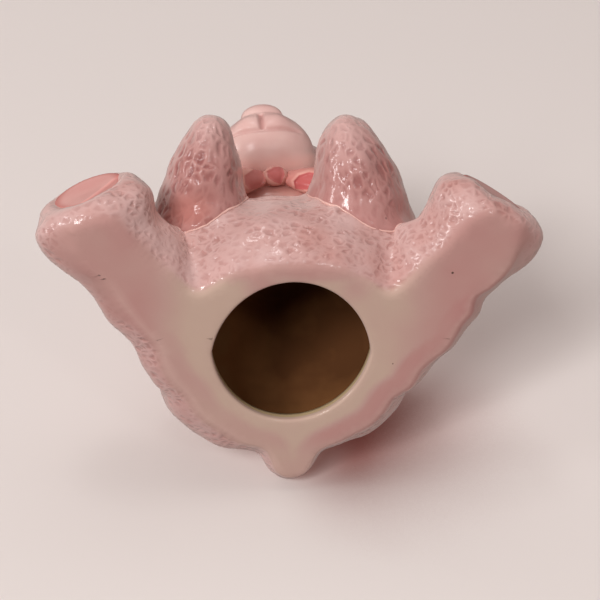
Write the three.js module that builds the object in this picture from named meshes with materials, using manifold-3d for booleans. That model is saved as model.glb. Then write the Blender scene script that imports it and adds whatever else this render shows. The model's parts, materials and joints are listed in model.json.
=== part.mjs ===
// A seated bear figurine in glazed earthenware, open underneath through its pour hole.
// Lengths are in millimetres, +Z is up and the face looks towards -Y. The base stands on z = 0.
import * as THREE from "three";
import { mergeVertices } from "three/addons/utils/BufferGeometryUtils.js";
import Module from "manifold-3d";

const wasm = await Module();
wasm.setup();

// Clay and joints
const wall = 3.6;
const slipGap = 0.3;
const beyond = 300;

// Base plate: the smooth underside that carries the pour hole
const plateThickness = 3.4;
const pourHoleWidth = 39.6;
const pourHoleDepth = 39.2;
const pourHoleCorner = 3.6;

// Torso
const torsoBaseWidth = 55.5;
const torsoBellyWidth = 70;
const torsoNeckWidth = 30;
const torsoBellyHeight = 15;
const torsoNeckHeight = 54;
const torsoRoundness = 0.965;
const torsoSquareness = 2.35;
const torsoBack = 3.2;
const neckBore = 20;
const neckCollar = 3;

// Legs and feet, the sole angles in degrees from straight ahead
const hipX = 21.5;
const hipY = 4.5;
const legHeight = 8.5;
const hipWidth = 28;
const ankleWidth = 23;
const footWidth = 29;
const footHeight = 26.5;
const footDepth = 24;
const footEdge = 5.5;
const soleX = 50.6;
const soleY = -37;
const soleZ = 13;
const leftSoleTurn = 31;
const rightSoleTurn = 23;
const leftSoleTilt = 10;
const rightSoleTilt = 4;
const solePadWidth = 17.5;
const solePadHeight = 16;
const solePadLift = 3;
const soleRecess = 2.2;
const solePadThickness = 1.1;

// Arms: full at the shoulder, drawn out to the paw
const leftShoulderX = 22.7;
const rightShoulderX = 24.6;
const shoulderY = -6;
const shoulderDrop = 26.5;
const leftArmRadius = 13.7;
const rightArmRadius = 12;
const leftPawX = 13.2;
const rightPawX = 19.3;
const pawReach = 42.5;
const pawDrop = -4;
const armTallness = 1.3;

// Tail
const tailWidth = 18;
const tailHeight = 16;
const tailReach = 12.5;
const tailX = 1.4;

// Head, turned a little towards the bear's right
const headWidth = 59.5;
const headDepth = 54;
const headHeight = 54;
const headSink = 2;
const headCentreY = 9;
const headTurn = 6;
const muzzleWidth = 27;
const muzzleHeight = 21;
const muzzleReach = 13.5;
const muzzleDrop = 8.5;
const noseWidth = 12.5;
const noseHeight = 7;
const noseDepth = 6;
const noseRise = 5;
const eyeSize = 5.8;
const eyeDepth = 4;
const eyeSpread = 18;
const eyeRise = 7.5;
const earSize = 23;
const earThickness = 9;
const earInset = 4.5;
const earDrop = 7;
const earSetback = 4;
const earRecess = 2.4;
const earInlaySize = 14;
const earInlayThickness = 1.2;

// Neck ribbon and bow
const ribbonHeight = 7;
const ribbonThickness = 4.5;
const bowSpan = 38;
const bowLoopHeight = 13;
const bowLoopDepth = 8;
const bowKnotWidth = 6.8;
const bowKnotHeight = 6.8;
const bowDroop = 2;
const bowForward = 3;
const bowRise = 0.8;
const bowX = -1.3;

// Glaze colours
const pinkGlaze = new THREE.MeshStandardMaterial({ color: 0xd7a69f, roughness: 0.25 });
const creamGlaze = new THREE.MeshStandardMaterial({ color: 0xd0b0a2, roughness: 0.25 });
const roseGlaze = new THREE.MeshStandardMaterial({ color: 0xb4655f, roughness: 0.2 });
const blushGlaze = new THREE.MeshStandardMaterial({ color: 0xc98f88, roughness: 0.25 });
const darkGlaze = new THREE.MeshStandardMaterial({ color: 0x241815, roughness: 0.1 });

// What differs from side to side
const sides = { left: 1, right: -1 };
const soleTurn = { left: leftSoleTurn, right: rightSoleTurn };
const soleTilt = { left: leftSoleTilt, right: rightSoleTilt };
const armRadius = { left: leftArmRadius, right: rightArmRadius };
const shoulderX = { left: leftShoulderX, right: rightShoulderX };
const pawX = { left: leftPawX, right: rightPawX };

const headCentreZ = torsoNeckHeight + headHeight / 2 - headSink;
const shoulderZ = torsoNeckHeight - shoulderDrop;
const neckTop = torsoNeckHeight + neckCollar;
const boreY = (torsoBack + headCentreY) / 2;
const radians = THREE.MathUtils.degToRad;

// A closed geometry as a solid that can be joined and cut
function solid(geometry) {
  const bare = geometry.clone();
  bare.deleteAttribute("normal");
  bare.deleteAttribute("uv");
  const merged = mergeVertices(bare, 1e-4);
  return new wasm.Manifold(new wasm.Mesh({
    numProp: 3,
    vertProperties: new Float32Array(merged.attributes.position.array),
    triVerts: new Uint32Array(merged.index.array),
  }));
}

// A solid as a named mesh
function piece(name, form, material) {
  const mesh = form.getMesh();
  const geometry = new THREE.BufferGeometry();
  geometry.setAttribute("position", new THREE.BufferAttribute(mesh.vertProperties, 3));
  geometry.setIndex(new THREE.BufferAttribute(mesh.triVerts, 1));
  geometry.computeVertexNormals();
  const made = new THREE.Mesh(geometry, material);
  made.name = name;
  return made;
}

// A profile of [radius, height] pairs turned round the Z axis
function turned(profile, segments) {
  const points = profile.map(([radius, height]) => new THREE.Vector2(radius, height));
  return new THREE.LatheGeometry(points, segments).rotateX(Math.PI / 2);
}

// An ellipsoid with its poles on Z
function ellipsoid(width, depth, height, segments, rows) {
  return new THREE.SphereGeometry(0.5, segments, rows)
    .rotateX(Math.PI / 2)
    .scale(width, depth, height);
}

// A cone with round ends along +Z: the hull of a ball at the origin and a ball at the given length
function roundedCone(startRadius, endRadius, length, segments, rows) {
  const lean = Math.asin((startRadius - endRadius) / length);
  const profile = [];
  for (let i = 0; i <= rows; i++) {
    const angle = -Math.PI / 2 + (i / rows) * (Math.PI / 2 + lean);
    profile.push([Math.max(0, startRadius * Math.cos(angle)), startRadius * Math.sin(angle)]);
  }
  for (let i = 0; i <= rows; i++) {
    const angle = lean + (i / rows) * (Math.PI / 2 - lean);
    profile.push([Math.max(0, endRadius * Math.cos(angle)), length + endRadius * Math.sin(angle)]);
  }
  profile[0][0] = 0;
  profile[profile.length - 1][0] = 0;
  return turned(profile, segments);
}

// Turns a geometry made along +Z to run from one point towards another
function along(geometry, from, to) {
  const direction = new THREE.Vector3().subVectors(to, from).normalize();
  const turn = new THREE.Quaternion().setFromUnitVectors(new THREE.Vector3(0, 0, 1), direction);
  return geometry.applyQuaternion(turn).translate(from.x, from.y, from.z);
}

function block(width, depth, bottom, top) {
  return new THREE.BoxGeometry(width, depth, top - bottom).translate(0, 0, (top + bottom) / 2);
}

// Torso outline: it swells from the base to the belly and draws in to the neck
function torsoWidthAt(height) {
  if (height < torsoBellyHeight) {
    const share = Math.sin((Math.PI / 2) * (height / torsoBellyHeight));
    return torsoBaseWidth + (torsoBellyWidth - torsoBaseWidth) * share;
  }
  const rise = (height - torsoBellyHeight) / (torsoNeckHeight - torsoBellyHeight);
  return torsoNeckWidth + (torsoBellyWidth - torsoNeckWidth) * Math.cos((Math.PI / 2) * rise);
}

function torsoForm(grow, bottom, top, segments, rows) {
  const profile = [[0, bottom]];
  for (let i = 0; i <= rows; i++) {
    const height = bottom + (i / rows) * (top - bottom);
    const clamped = THREE.MathUtils.clamp(height, 0, torsoNeckHeight);
    profile.push([torsoWidthAt(clamped) / 2 + grow, height]);
  }
  profile.push([0, top]);
  const form = turned(profile, segments);
  const points = form.attributes.position;
  for (let i = 0; i < points.count; i++) {
    const angle = Math.atan2(points.getY(i), points.getX(i));
    const sum = Math.abs(Math.cos(angle)) ** torsoSquareness + Math.abs(Math.sin(angle)) ** torsoSquareness;
    const swell = sum ** (-1 / torsoSquareness);
    points.setXY(i, points.getX(i) * swell, points.getY(i) * swell * torsoRoundness);
  }
  return solid(form.translate(0, torsoBack, 0));
}

const torsoCutter = torsoForm(slipGap, -plateThickness, neckTop + slipGap, 40, 14);
const belowPlate = solid(block(beyond, beyond, -beyond, plateThickness));
const torsoBackAt = (height) => torsoBack + (torsoRoundness * torsoWidthAt(height)) / 2;

// Pour hole: two arcs that meet in a slight corner on each side
function pourHole() {
  const half = pourHoleDepth / 2;
  const arc = half + pourHoleCorner;
  const reach = Math.acos(Math.sqrt(1 - (pourHoleCorner / arc) ** 2));
  const radius = pourHoleWidth / 2 / Math.cos(reach);
  const outline = new THREE.Shape();
  outline.absellipse(0, -pourHoleCorner, radius, arc, reach, Math.PI - reach, false);
  outline.absellipse(0, pourHoleCorner, radius, arc, Math.PI + reach, 2 * Math.PI - reach, false);
  const options = { depth: 2 * pourHoleDepth, bevelEnabled: false, curveSegments: 18 };
  return solid(new THREE.ExtrudeGeometry(outline, options).translate(0, 0, -pourHoleDepth));
}

// Legs: a thigh and a round foot whose sole looks forwards and outwards
function legFrame(side) {
  const sign = sides[side];
  const turn = radians(soleTurn[side]);
  const tilt = radians(soleTilt[side]);
  const normal = new THREE.Vector3(sign * Math.sin(turn), -Math.cos(turn), Math.tan(tilt)).normalize();
  const sole = new THREE.Vector3(sign * soleX, soleY, soleZ);
  const hip = new THREE.Vector3(sign * hipX, hipY, legHeight);
  const ankle = sole.clone().addScaledVector(normal, -footDepth / 2).setZ(legHeight);
  return { hip, ankle, sole, normal };
}

// Stands a geometry made along +Z, its height along +Y, on the sole of a foot
function onSole(geometry, side) {
  const { sole, normal } = legFrame(side);
  const across = new THREE.Vector3(0, 0, 1).cross(normal).normalize();
  const up = normal.clone().cross(across);
  const basis = new THREE.Matrix4().makeBasis(across, up, normal).setPosition(sole);
  return geometry.applyMatrix4(basis);
}

function footForm(side) {
  const radius = footWidth / 2;
  const profile = [];
  const steps = 7;
  for (let i = 0; i <= steps; i++) {
    const angle = (i / steps) * (Math.PI / 2);
    profile.push([radius * Math.sin(angle), -footEdge - (footDepth - footEdge) * Math.cos(angle)]);
  }
  for (let i = 1; i <= 5; i++) {
    const angle = (i / 5) * (Math.PI / 2);
    const inset = footEdge * (1 - Math.cos(angle));
    profile.push([radius - inset, -footEdge + footEdge * Math.sin(angle)]);
  }
  profile.push([0, 0]);
  profile[0][0] = 0;
  const form = turned(profile, 30).scale(1, footHeight / footWidth, 1);
  return solid(onSole(form, side));
}

function solePocket(side, grow, bottom, top) {
  const disc = new THREE.CylinderGeometry(0.5, 0.5, top - bottom, 28)
    .rotateX(Math.PI / 2)
    .scale(solePadWidth + 2 * grow, solePadHeight + 2 * grow, 1)
    .translate(0, solePadLift, (top + bottom) / 2);
  return solid(onSole(disc, side));
}

function legForm(side) {
  const { hip, ankle } = legFrame(side);
  const thigh = roundedCone(hipWidth / 2, ankleWidth / 2, hip.distanceTo(ankle), 26, 6);
  return solid(along(thigh, hip, ankle)).add(footForm(side));
}

function leg(side) {
  const pocket = solePocket(side, slipGap, -soleRecess - slipGap, footDepth);
  return legForm(side)
    .subtract(torsoCutter)
    .subtract(armForm(side, slipGap))
    .subtract(belowPlate)
    .subtract(pocket);
}

function solePad(side) {
  return solePocket(side, 0, -soleRecess, -soleRecess + solePadThickness);
}

// Tail: a short tongue at the back of the base
function tailForm() {
  const root = torsoBackAt(0) - tailWidth / 2;
  const length = tailReach + tailWidth / 2;
  return solid(ellipsoid(tailWidth, 2 * length, tailHeight, 24, 12)
    .translate(tailX, root, tailHeight * 0.28));
}

// The outline that a form leaves on the ground, as a slab of the plate's thickness
function footprint(form) {
  const slab = solid(block(beyond, beyond, 0, plateThickness));
  return form.intersect(slab);
}

function basePlate() {
  return footprint(torsoForm(0, 0, 2 * plateThickness, 40, 4))
    .add(footprint(legForm("left")))
    .add(footprint(legForm("right")))
    .add(footprint(tailForm()))
    .subtract(pourHole());
}

// Arms: a ball at the shoulder that runs out to the paw as half an ellipsoid
function armForm(side, grow = 0) {
  const sign = sides[side];
  const shoulder = new THREE.Vector3(sign * shoulderX[side], shoulderY, shoulderZ);
  const paw = new THREE.Vector3(sign * pawX[side], shoulderY - pawReach, shoulderZ - pawDrop);
  const radius = armRadius[side] + grow;
  const reach = shoulder.distanceTo(paw) + grow;
  const rows = 16;
  const profile = [];
  for (let i = 0; i <= rows; i++) {
    const angle = -Math.PI / 2 + (i / rows) * Math.PI;
    const length = angle < 0 ? radius : reach;
    profile.push([radius * Math.cos(angle), length * Math.sin(angle)]);
  }
  profile[0][0] = 0;
  profile[rows][0] = 0;
  const form = along(turned(profile, 24), shoulder, paw).translate(0, 0, -shoulderZ);
  return solid(form.scale(1, 1, armTallness).translate(0, 0, shoulderZ));
}

// The way from the body's hollow into the head's
function neckPassage() {
  const bore = new THREE.CylinderGeometry(neckBore / 2, neckBore / 2, 2 * neckBore, 20);
  return bore.rotateX(Math.PI / 2).translate(0, boreY, torsoNeckHeight);
}

// Head pieces, about the head's own centre
const headForm = (grow, segments, rows) =>
  solid(ellipsoid(headWidth + 2 * grow, headDepth + 2 * grow, headHeight + 2 * grow, segments, rows));
const neckCut = neckTop + slipGap - headCentreZ;
const headCutter = headForm(slipGap, 32, 16);

function headShell() {
  const bore = neckPassage().translate(0, -headCentreY, -headCentreZ).rotateZ(radians(headTurn));
  return headForm(0, 36, 18)
    .subtract(headForm(-wall, 20, 10))
    .subtract(solid(block(beyond, beyond, -beyond, neckCut)))
    .subtract(solid(bore));
}

function muzzleForm(grow) {
  const size = [muzzleWidth + 2 * grow, muzzleWidth + 2 * grow, muzzleHeight + 2 * grow];
  const centreY = -headDepth / 2 - muzzleReach + muzzleWidth / 2;
  return solid(ellipsoid(...size, 30, 15).translate(0, centreY, -muzzleDrop));
}

function nose() {
  const share = Math.sqrt(1 - (2 * noseRise / muzzleHeight) ** 2);
  const front = -headDepth / 2 - muzzleReach + (muzzleWidth / 2) * (1 - share);
  return solid(ellipsoid(noseWidth, noseDepth, noseHeight, 20, 10)
    .translate(0, front + noseDepth / 8, noseRise - muzzleDrop))
    .subtract(muzzleForm(slipGap))
    .subtract(headCutter);
}

function eye(side) {
  const x = sides[side] * eyeSpread / 2;
  const share = 1 - (2 * x / headWidth) ** 2 - (2 * eyeRise / headHeight) ** 2;
  const front = -(headDepth / 2) * Math.sqrt(share);
  return solid(ellipsoid(eyeSize, eyeDepth, eyeSize, 16, 8).translate(x, front, eyeRise))
    .subtract(headCutter)
    .subtract(muzzleForm(slipGap));
}

function earFrame(geometry, side) {
  const x = sides[side] * (headWidth / 2 - earInset);
  const rise = headHeight / 2 - earDrop;
  return geometry.rotateX(Math.PI / 2).translate(x, earSetback - earThickness / 2, rise);
}

function earForm(side) {
  const radius = earSize / 2;
  const edge = earThickness / 2;
  const profile = [[0, -earThickness]];
  for (let i = 0; i <= 8; i++) {
    const angle = -Math.PI / 2 + (i / 8) * Math.PI;
    profile.push([radius - edge + edge * Math.cos(angle), -edge + edge * Math.sin(angle)]);
  }
  profile.push([0, 0]);
  return solid(earFrame(turned(profile, 28), side));
}

function earDisc(side, grow, bottom, top) {
  const size = earInlaySize / 2 + grow;
  const disc = new THREE.CylinderGeometry(size, size, top - bottom, 24)
    .rotateX(Math.PI / 2)
    .translate(0, 0, (top + bottom) / 2);
  return solid(earFrame(disc, side));
}

function ear(side) {
  return earForm(side)
    .subtract(earDisc(side, slipGap, -earRecess - slipGap, earThickness))
    .subtract(headCutter);
}

function earInlay(side) {
  return earDisc(side, 0, -earRecess, -earRecess + earInlayThickness).subtract(headCutter);
}

// Neck ribbon and bow, about the torso's axis
const placedHead = headCutter
  .rotate([0, 0, -headTurn])
  .translate([0, headCentreY, headCentreZ]);
const placedMuzzle = muzzleForm(slipGap)
  .rotate([0, 0, -headTurn])
  .translate([0, headCentreY, headCentreZ]);

function ribbonForm(grow) {
  const half = ribbonHeight / 2 + grow;
  const inner = torsoNeckWidth / 2 - 4;
  const outer = torsoNeckWidth / 2 + ribbonThickness;
  const profile = [];
  for (let i = 0; i <= 6; i++) {
    const angle = -Math.PI / 2 + (i / 6) * Math.PI;
    profile.push([outer + (ribbonThickness / 2 + grow) * Math.cos(angle), half * Math.sin(angle)]);
  }
  profile.push([inner, half]);
  profile.push([inner, -half]);
  profile.push(profile[0]);
  const form = turned(profile, 30).scale(1, torsoRoundness, 1);
  return solid(form.translate(0, torsoBack, torsoNeckHeight));
}

function aboveNeck(form) {
  return form
    .subtract(torsoCutter)
    .subtract(placedHead)
    .subtract(placedMuzzle)
    .subtract(armForm("left", slipGap))
    .subtract(armForm("right", slipGap));
}

const bowY = torsoBack - torsoRoundness * (torsoNeckWidth / 2 + ribbonThickness * 1.5) - bowForward;
const bowZ = torsoNeckHeight + bowRise;

function bowKnotForm(grow) {
  const size = [bowKnotWidth + 2 * grow, bowKnotWidth + 2 * grow, bowKnotHeight + 2 * grow];
  return solid(ellipsoid(...size, 20, 10).translate(bowX, bowY, bowZ));
}

function bowLoop(side) {
  const sign = sides[side];
  const start = new THREE.Vector3(bowX, bowY, bowZ);
  const end = new THREE.Vector3(bowX + (sign * bowSpan) / 2, bowY + 2, bowZ - bowDroop);
  const length = start.distanceTo(end);
  const profile = [];
  for (let i = 0; i <= 12; i++) {
    const angle = (i / 12) * Math.PI;
    const swell = Math.sin(angle) * (0.62 - 0.38 * Math.cos(angle));
    profile.push([Math.max(0, swell) * bowLoopHeight * 0.62, (length / 2) * (1 - Math.cos(angle))]);
  }
  profile[0][0] = 0;
  profile[12][0] = 0;
  const lobe = turned(profile, 22).scale(bowLoopDepth / bowLoopHeight, 1, 1);
  const direction = new THREE.Vector3().subVectors(end, start).normalize();
  const front = new THREE.Vector3(0, -1, 0).addScaledVector(direction, direction.y).normalize();
  const upright = direction.clone().cross(front);
  const basis = new THREE.Matrix4().makeBasis(front, upright, direction).setPosition(start);
  return aboveNeck(solid(lobe.applyMatrix4(basis)))
    .subtract(ribbonForm(slipGap))
    .subtract(bowKnotForm(slipGap));
}

// Torso shell: hollow, open below onto the plate and above into the head
function torsoShell() {
  const hollow = torsoForm(-wall, plateThickness - 1, torsoNeckHeight - wall, 26, 8);
  return torsoForm(0, 0, neckTop, 40, 15)
    .subtract(belowPlate)
    .subtract(hollow)
    .subtract(solid(neckPassage()));
}

const arm = (side) => armForm(side).subtract(torsoCutter);

const torso = new THREE.Group();
torso.name = "seated_body";
torso.add(
  piece("base_plate", basePlate(), creamGlaze),
  piece("torso_shell", torsoShell(), pinkGlaze),
  piece("left_leg", leg("left"), pinkGlaze),
  piece("right_leg", leg("right"), pinkGlaze),
  piece("left_sole_pad", solePad("left"), blushGlaze),
  piece("right_sole_pad", solePad("right"), blushGlaze),
  piece("left_arm", arm("left"), pinkGlaze),
  piece("right_arm", arm("right"), pinkGlaze),
  piece("tail", tailForm().subtract(torsoCutter).subtract(belowPlate), pinkGlaze),
  piece("neck_ribbon", aboveNeck(ribbonForm(0)), roseGlaze),
  piece("bow_knot", aboveNeck(bowKnotForm(0)).subtract(ribbonForm(slipGap)), roseGlaze),
  piece("left_bow_loop", bowLoop("left"), roseGlaze),
  piece("right_bow_loop", bowLoop("right"), roseGlaze),
);

const head = new THREE.Group();
head.name = "turned_head";
head.position.set(0, headCentreY, headCentreZ);
head.rotation.z = -radians(headTurn);
head.add(
  piece("head_shell", headShell(), pinkGlaze),
  piece("muzzle", muzzleForm(0).subtract(headCutter), pinkGlaze),
  piece("nose", nose(), roseGlaze),
  piece("left_eye", eye("left"), darkGlaze),
  piece("right_eye", eye("right"), darkGlaze),
  piece("left_ear", ear("left"), pinkGlaze),
  piece("right_ear", ear("right"), pinkGlaze),
  piece("left_ear_inlay", earInlay("left"), blushGlaze),
  piece("right_ear_inlay", earInlay("right"), blushGlaze),
);

const bear = new THREE.Group();
bear.name = "bear_figurine";
bear.add(torso, head);

// The origin is the middle of the figure's outer box, at the base
bear.updateMatrixWorld(true);
const outer = new THREE.Box3().setFromObject(bear, true);
const middle = outer.getCenter(new THREE.Vector3());
bear.position.set(-middle.x, -middle.y, -outer.min.z);

export default bear;
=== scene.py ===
# a glazed earthenware bear that lies on its back, seen from below its seat
import json
import math
from functools import partial

import bmesh
import bpy
import numpy as np
from mathutils import Matrix, Vector, noise
from mathutils.bvhtree import BVHTree
from mathutils.geometry import delaunay_2d_cdt
from mathutils.kdtree import KDTree


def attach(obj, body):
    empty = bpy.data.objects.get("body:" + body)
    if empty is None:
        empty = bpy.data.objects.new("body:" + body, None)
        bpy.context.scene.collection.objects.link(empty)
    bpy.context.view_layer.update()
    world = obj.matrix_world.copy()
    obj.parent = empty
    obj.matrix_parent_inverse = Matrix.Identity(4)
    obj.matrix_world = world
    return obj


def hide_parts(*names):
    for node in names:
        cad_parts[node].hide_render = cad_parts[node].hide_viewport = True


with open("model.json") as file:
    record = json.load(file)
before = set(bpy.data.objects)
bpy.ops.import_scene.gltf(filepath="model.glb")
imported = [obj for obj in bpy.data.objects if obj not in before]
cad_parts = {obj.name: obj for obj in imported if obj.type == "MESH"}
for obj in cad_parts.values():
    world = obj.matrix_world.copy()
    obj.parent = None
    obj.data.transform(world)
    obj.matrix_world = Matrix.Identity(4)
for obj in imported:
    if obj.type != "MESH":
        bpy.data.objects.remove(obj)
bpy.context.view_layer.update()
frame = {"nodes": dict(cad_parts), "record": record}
scene = bpy.context.scene
scene.view_settings.view_transform = "Standard"
mm = 0.001
print("frame loaded,", len(frame["nodes"]), "nodes")


def linear(hexText):  # sRGB hex to linear colour
    parts = [int(hexText[i:i + 2], 16) / 255 for i in (1, 3, 5)]
    return [p / 12.92 if p <= 0.04045 else ((p + 0.055) / 1.055) ** 2.4 for p in parts] + [1.0]


# values are set, sockets are linked, and a ramp gets its (place, hex) stops
def addNode(tree, kind, sockets=None, stops=(), **settings):
    node = tree.nodes.new(kind)
    for key, value in settings.items():
        setattr(node, key, value)
    for key, value in (sockets or {}).items():
        if isinstance(value, bpy.types.NodeSocket):
            tree.links.new(value, node.inputs[key])
        else:
            node.inputs[key].default_value = value
    for i, (place, hexText) in enumerate(stops):
        mark = node.color_ramp.elements[i] if i < 2 else node.color_ramp.elements.new(place)
        mark.position, mark.color = place, linear(hexText)
    return node


# mesh work

def vectorsOf(rows, key):
    flat = np.empty(len(rows) * 3, np.float32)
    rows.foreach_get(key, flat)
    return flat.reshape(-1, 3).astype(float)


def pointsOf(mesh):
    return vectorsOf(mesh.vertices, "co")


def normalsOf(mesh):
    return vectorsOf(mesh.vertex_normals, "vector")


def setPoints(mesh, points):
    mesh.vertices.foreach_set("co", np.asarray(points, np.float32).ravel())
    mesh.update()


def smoothStep(low, high, value):
    part = np.clip((value - low) / (high - low), 0, 1)
    return part * part * (3 - 2 * part)


def hump(distance, radius):  # 1 in the middle, 0 from the radius on
    return 1 - smoothStep(0, radius, distance)


def lumps(points, size):  # soft unevenness, about -0.5 to 0.5
    return np.array([noise.noise(Vector(p) / size) for p in points])


def newPiece(name, mesh):
    piece = bpy.data.objects.new(name, mesh)
    scene.collection.objects.link(piece)
    return piece


def mergedCopy(name, *nodes):
    shape = bmesh.new()
    for node in nodes:
        shape.from_mesh(frame["nodes"][node].data)
    bmesh.ops.remove_doubles(shape, verts=shape.verts, dist=1e-6)
    mesh = bpy.data.meshes.new(name)
    shape.to_mesh(mesh)
    shape.free()
    return newPiece(name, mesh)


def applied(piece):  # what the modifiers make becomes the mesh
    graph = bpy.context.evaluated_depsgraph_get()
    mesh = bpy.data.meshes.new_from_object(piece.evaluated_get(graph))
    piece.modifiers.clear()
    old = piece.data
    piece.data = mesh
    bpy.data.meshes.remove(old)
    mesh.shade_smooth()
    return piece


def reskinned(piece, voxel):
    skin = piece.modifiers.new("skin", "REMESH")
    skin.mode = "VOXEL"
    skin.voxel_size = voxel
    return applied(piece)


def averaged(mesh, columns, steps):  # each value drawn halfway to its neighbours' mean
    ends = np.empty(len(mesh.edges) * 2, np.int32)
    mesh.edges.foreach_get("vertices", ends)
    a, b = ends.reshape(-1, 2).T
    total = len(columns)
    count = np.maximum(np.bincount(np.concatenate((a, b)), minlength=total), 1)
    for _ in range(steps):
        for line in columns.T:
            mean = (np.bincount(a, line[b], total) + np.bincount(b, line[a], total)) / count
            line += 0.5 * (mean - line)
    return columns


def relaxed(piece, steps):
    setPoints(piece.data, averaged(piece.data, pointsOf(piece.data), steps))
    return piece


def grown(piece, amount):  # outward, by one amount or by one for each point
    setPoints(piece.data, pointsOf(piece.data) + np.reshape(amount, (-1, 1)) * normalsOf(piece.data))
    return piece


def glazed(piece, glaze):
    piece.data.materials.clear()
    piece.data.materials.append(glaze)
    return piece


def setAttribute(piece, name, values):
    layer = piece.data.attributes.get(name) or piece.data.attributes.new(name, "FLOAT", "POINT")
    layer.data.foreach_set("value", np.asarray(values, np.float32))


def treeOf(mesh):
    shape = bmesh.new()
    shape.from_mesh(mesh)
    tree = BVHTree.FromBMesh(shape)
    shape.free()
    return tree


def flatTree(spots):  # to find the nearest of some points on the seat's plane
    tree = KDTree(len(spots))
    for i, (x, y) in enumerate(spots):
        tree.insert((x, y, 0), i)
    tree.balance()
    return tree


def closeness(points, tree, reach):  # 1 at or within another piece, 0 from the reach on
    close = np.zeros(len(points))
    for i, point in enumerate(points):
        near, normal, _, distance = tree.find_nearest(point, reach)
        if near is not None:
            close[i] = 1 - distance / reach if (Vector(point) - near).dot(normal) > 0 else 1
    return close


def filleted(piece, tree, reach, rise, steps=6):  # the skin swells to meet the other piece
    close = closeness(pointsOf(piece.data), tree, reach)
    return grown(piece, rise * averaged(piece.data, close[:, None] ** 2, steps))


def finished(piece, slot, *nodes):
    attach(piece, "root")
    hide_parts(*nodes)
    print("made", piece.name, sum(len(p.vertices) - 2 for p in piece.data.polygons), "triangles")


# camera: close below the seat, looking at the base and up along the belly

view = {
    "rise": 32, "swing": -5,            # degrees off the base's own axis
    "distance": 430 * mm, "focal": 4.04 * 430,   # pixels
    "aim": (292, 350), "size": 600,     # where the hole's middle falls in the picture
    "sensor": 36,                       # millimetres
}
holeBox = next(o["box_m"] for o in frame["record"]["physics"]["openings"] if o["name"] == "pour_hole")
holeMiddle = Vector([(holeBox[0][i] + holeBox[1][i]) / 2 for i in range(2)] + [0])
rise, swing = math.radians(view["rise"]), math.radians(view["swing"])
away = Vector((math.sin(swing), -math.sin(rise) * math.cos(swing), -math.cos(rise) * math.cos(swing)))
ahead = -away
across = (Vector((1, 0, 0)) - ahead * ahead.x).normalized()
aimX = (view["aim"][0] - view["size"] / 2) / view["focal"]
aimY = -(view["aim"][1] - view["size"] / 2) / view["focal"]
ahead = (ahead - aimX * across - aimY * across.cross(ahead)).normalized()
across = (Vector((1, 0, 0)) - ahead * ahead.x).normalized()
upward = across.cross(ahead)
eye = holeMiddle + away * view["distance"]
camera = bpy.data.objects.new("camera", bpy.data.cameras.new("camera"))
camera.data.sensor_width = view["sensor"]
camera.data.lens = view["focal"] * view["sensor"] / view["size"]
camera.data.clip_start = 0.01
camera.matrix_world = Matrix.Translation(eye) @ Matrix((across, upward, -ahead)).transposed().to_4x4()
scene.collection.objects.link(camera)
scene.camera = camera


def inPicture(points):  # where points fall in the picture, in its pixels
    rays = points - np.array(eye)
    depth = rays @ np.array(ahead)
    half = view["size"] / 2
    return np.stack((half + view["focal"] * (rays @ np.array(across)) / depth,
                     half - view["focal"] * (rays @ np.array(upward)) / depth), 1)


# lights: a wide window behind the camera and the ceiling over the table, both too even to mirror,
# panes and a lamp that show as glints, pale walls and a skylight for the back, and an even room

lights = {
    "window": {"from": (-0.40, -0.57, -0.72), "far": 3.0, "size": 1.1, "watts": 60},
    "leftPane": {"from": (-0.52, -0.53, -0.67), "far": 3.0, "size": 0.4, "watts": 12, "mirrored": True},
    "rightPane": {"from": (0.28, -0.58, -0.77), "far": 3.0, "size": 0.27, "watts": 3, "mirrored": True},
    "ceiling": {"from": (0.05, -0.97, 0.2), "far": 2.2, "size": 1.6, "watts": 8.5},
    "lamp": {"from": (-0.15, -0.97, 0.05), "far": 2.2, "size": 0.3, "watts": 2.5, "mirrored": True},
    "sideWindow": {"from": (-0.93, -0.3, -0.2), "far": 1.2, "size": 0.25, "watts": 2.0, "mirrored": True},
    "backWall": {"from": (0.1, 0.8, 0.6), "far": 1.6, "size": 3.2, "watts": 9, "colour": "#ffc4b6"},
    "skylight": {"from": (0.15, 0.35, 0.92), "far": 2.4, "size": 2.2, "watts": 26},
    "rightWall": {"from": (0.85, 0.48, 0.2), "far": 1.6, "size": 2.5, "watts": 7, "colour": "#ffece6"},
}
room = {"colour": "#ffe9e2", "strength": 0.25, "seen": "#dbd1cc", "shine": 0.3}
for name, lamp in lights.items():
    data = bpy.data.lights.new(name, "AREA")
    data.size = lamp["size"]
    data.energy = lamp["watts"]
    data.color = linear(lamp.get("colour", "#ffffff"))[:3]
    bulb = bpy.data.objects.new(name, data)
    bulb.visible_camera = False
    bulb.visible_glossy = lamp.get("mirrored", False)
    bulb.location = Vector(lamp["from"]).normalized() * lamp["far"]
    bulb.rotation_euler = Vector(lamp["from"]).to_track_quat("Z", "Y").to_euler()
    scene.collection.objects.link(bulb)

world = bpy.data.worlds.new("room")
scene.world = world
world.use_nodes = True
world.node_tree.nodes.clear()
add = partial(addNode, world.node_tree)
path = add("ShaderNodeLightPath").outputs
direct = add("ShaderNodeMath", {0: path["Is Camera Ray"], 1: path["Is Transmission Ray"]},
             operation="MAXIMUM")
even = add("ShaderNodeBackground", {"Color": linear(room["colour"]), "Strength": room["strength"]})
pale = add("ShaderNodeBackground", {"Color": linear(room["seen"])})
shown = add("ShaderNodeBackground", {"Color": linear(room["seen"]), "Strength": room["shine"]})
shine = add("ShaderNodeMixShader", {0: path["Is Glossy Ray"], 1: even.outputs[0], 2: shown.outputs[0]})
mixed = add("ShaderNodeMixShader", {0: direct.outputs[0], 1: shine.outputs[0], 2: pale.outputs[0]})
add("ShaderNodeOutputWorld", {"Surface": mixed.outputs[0]})
print("camera and lights set")


# glazes

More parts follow.
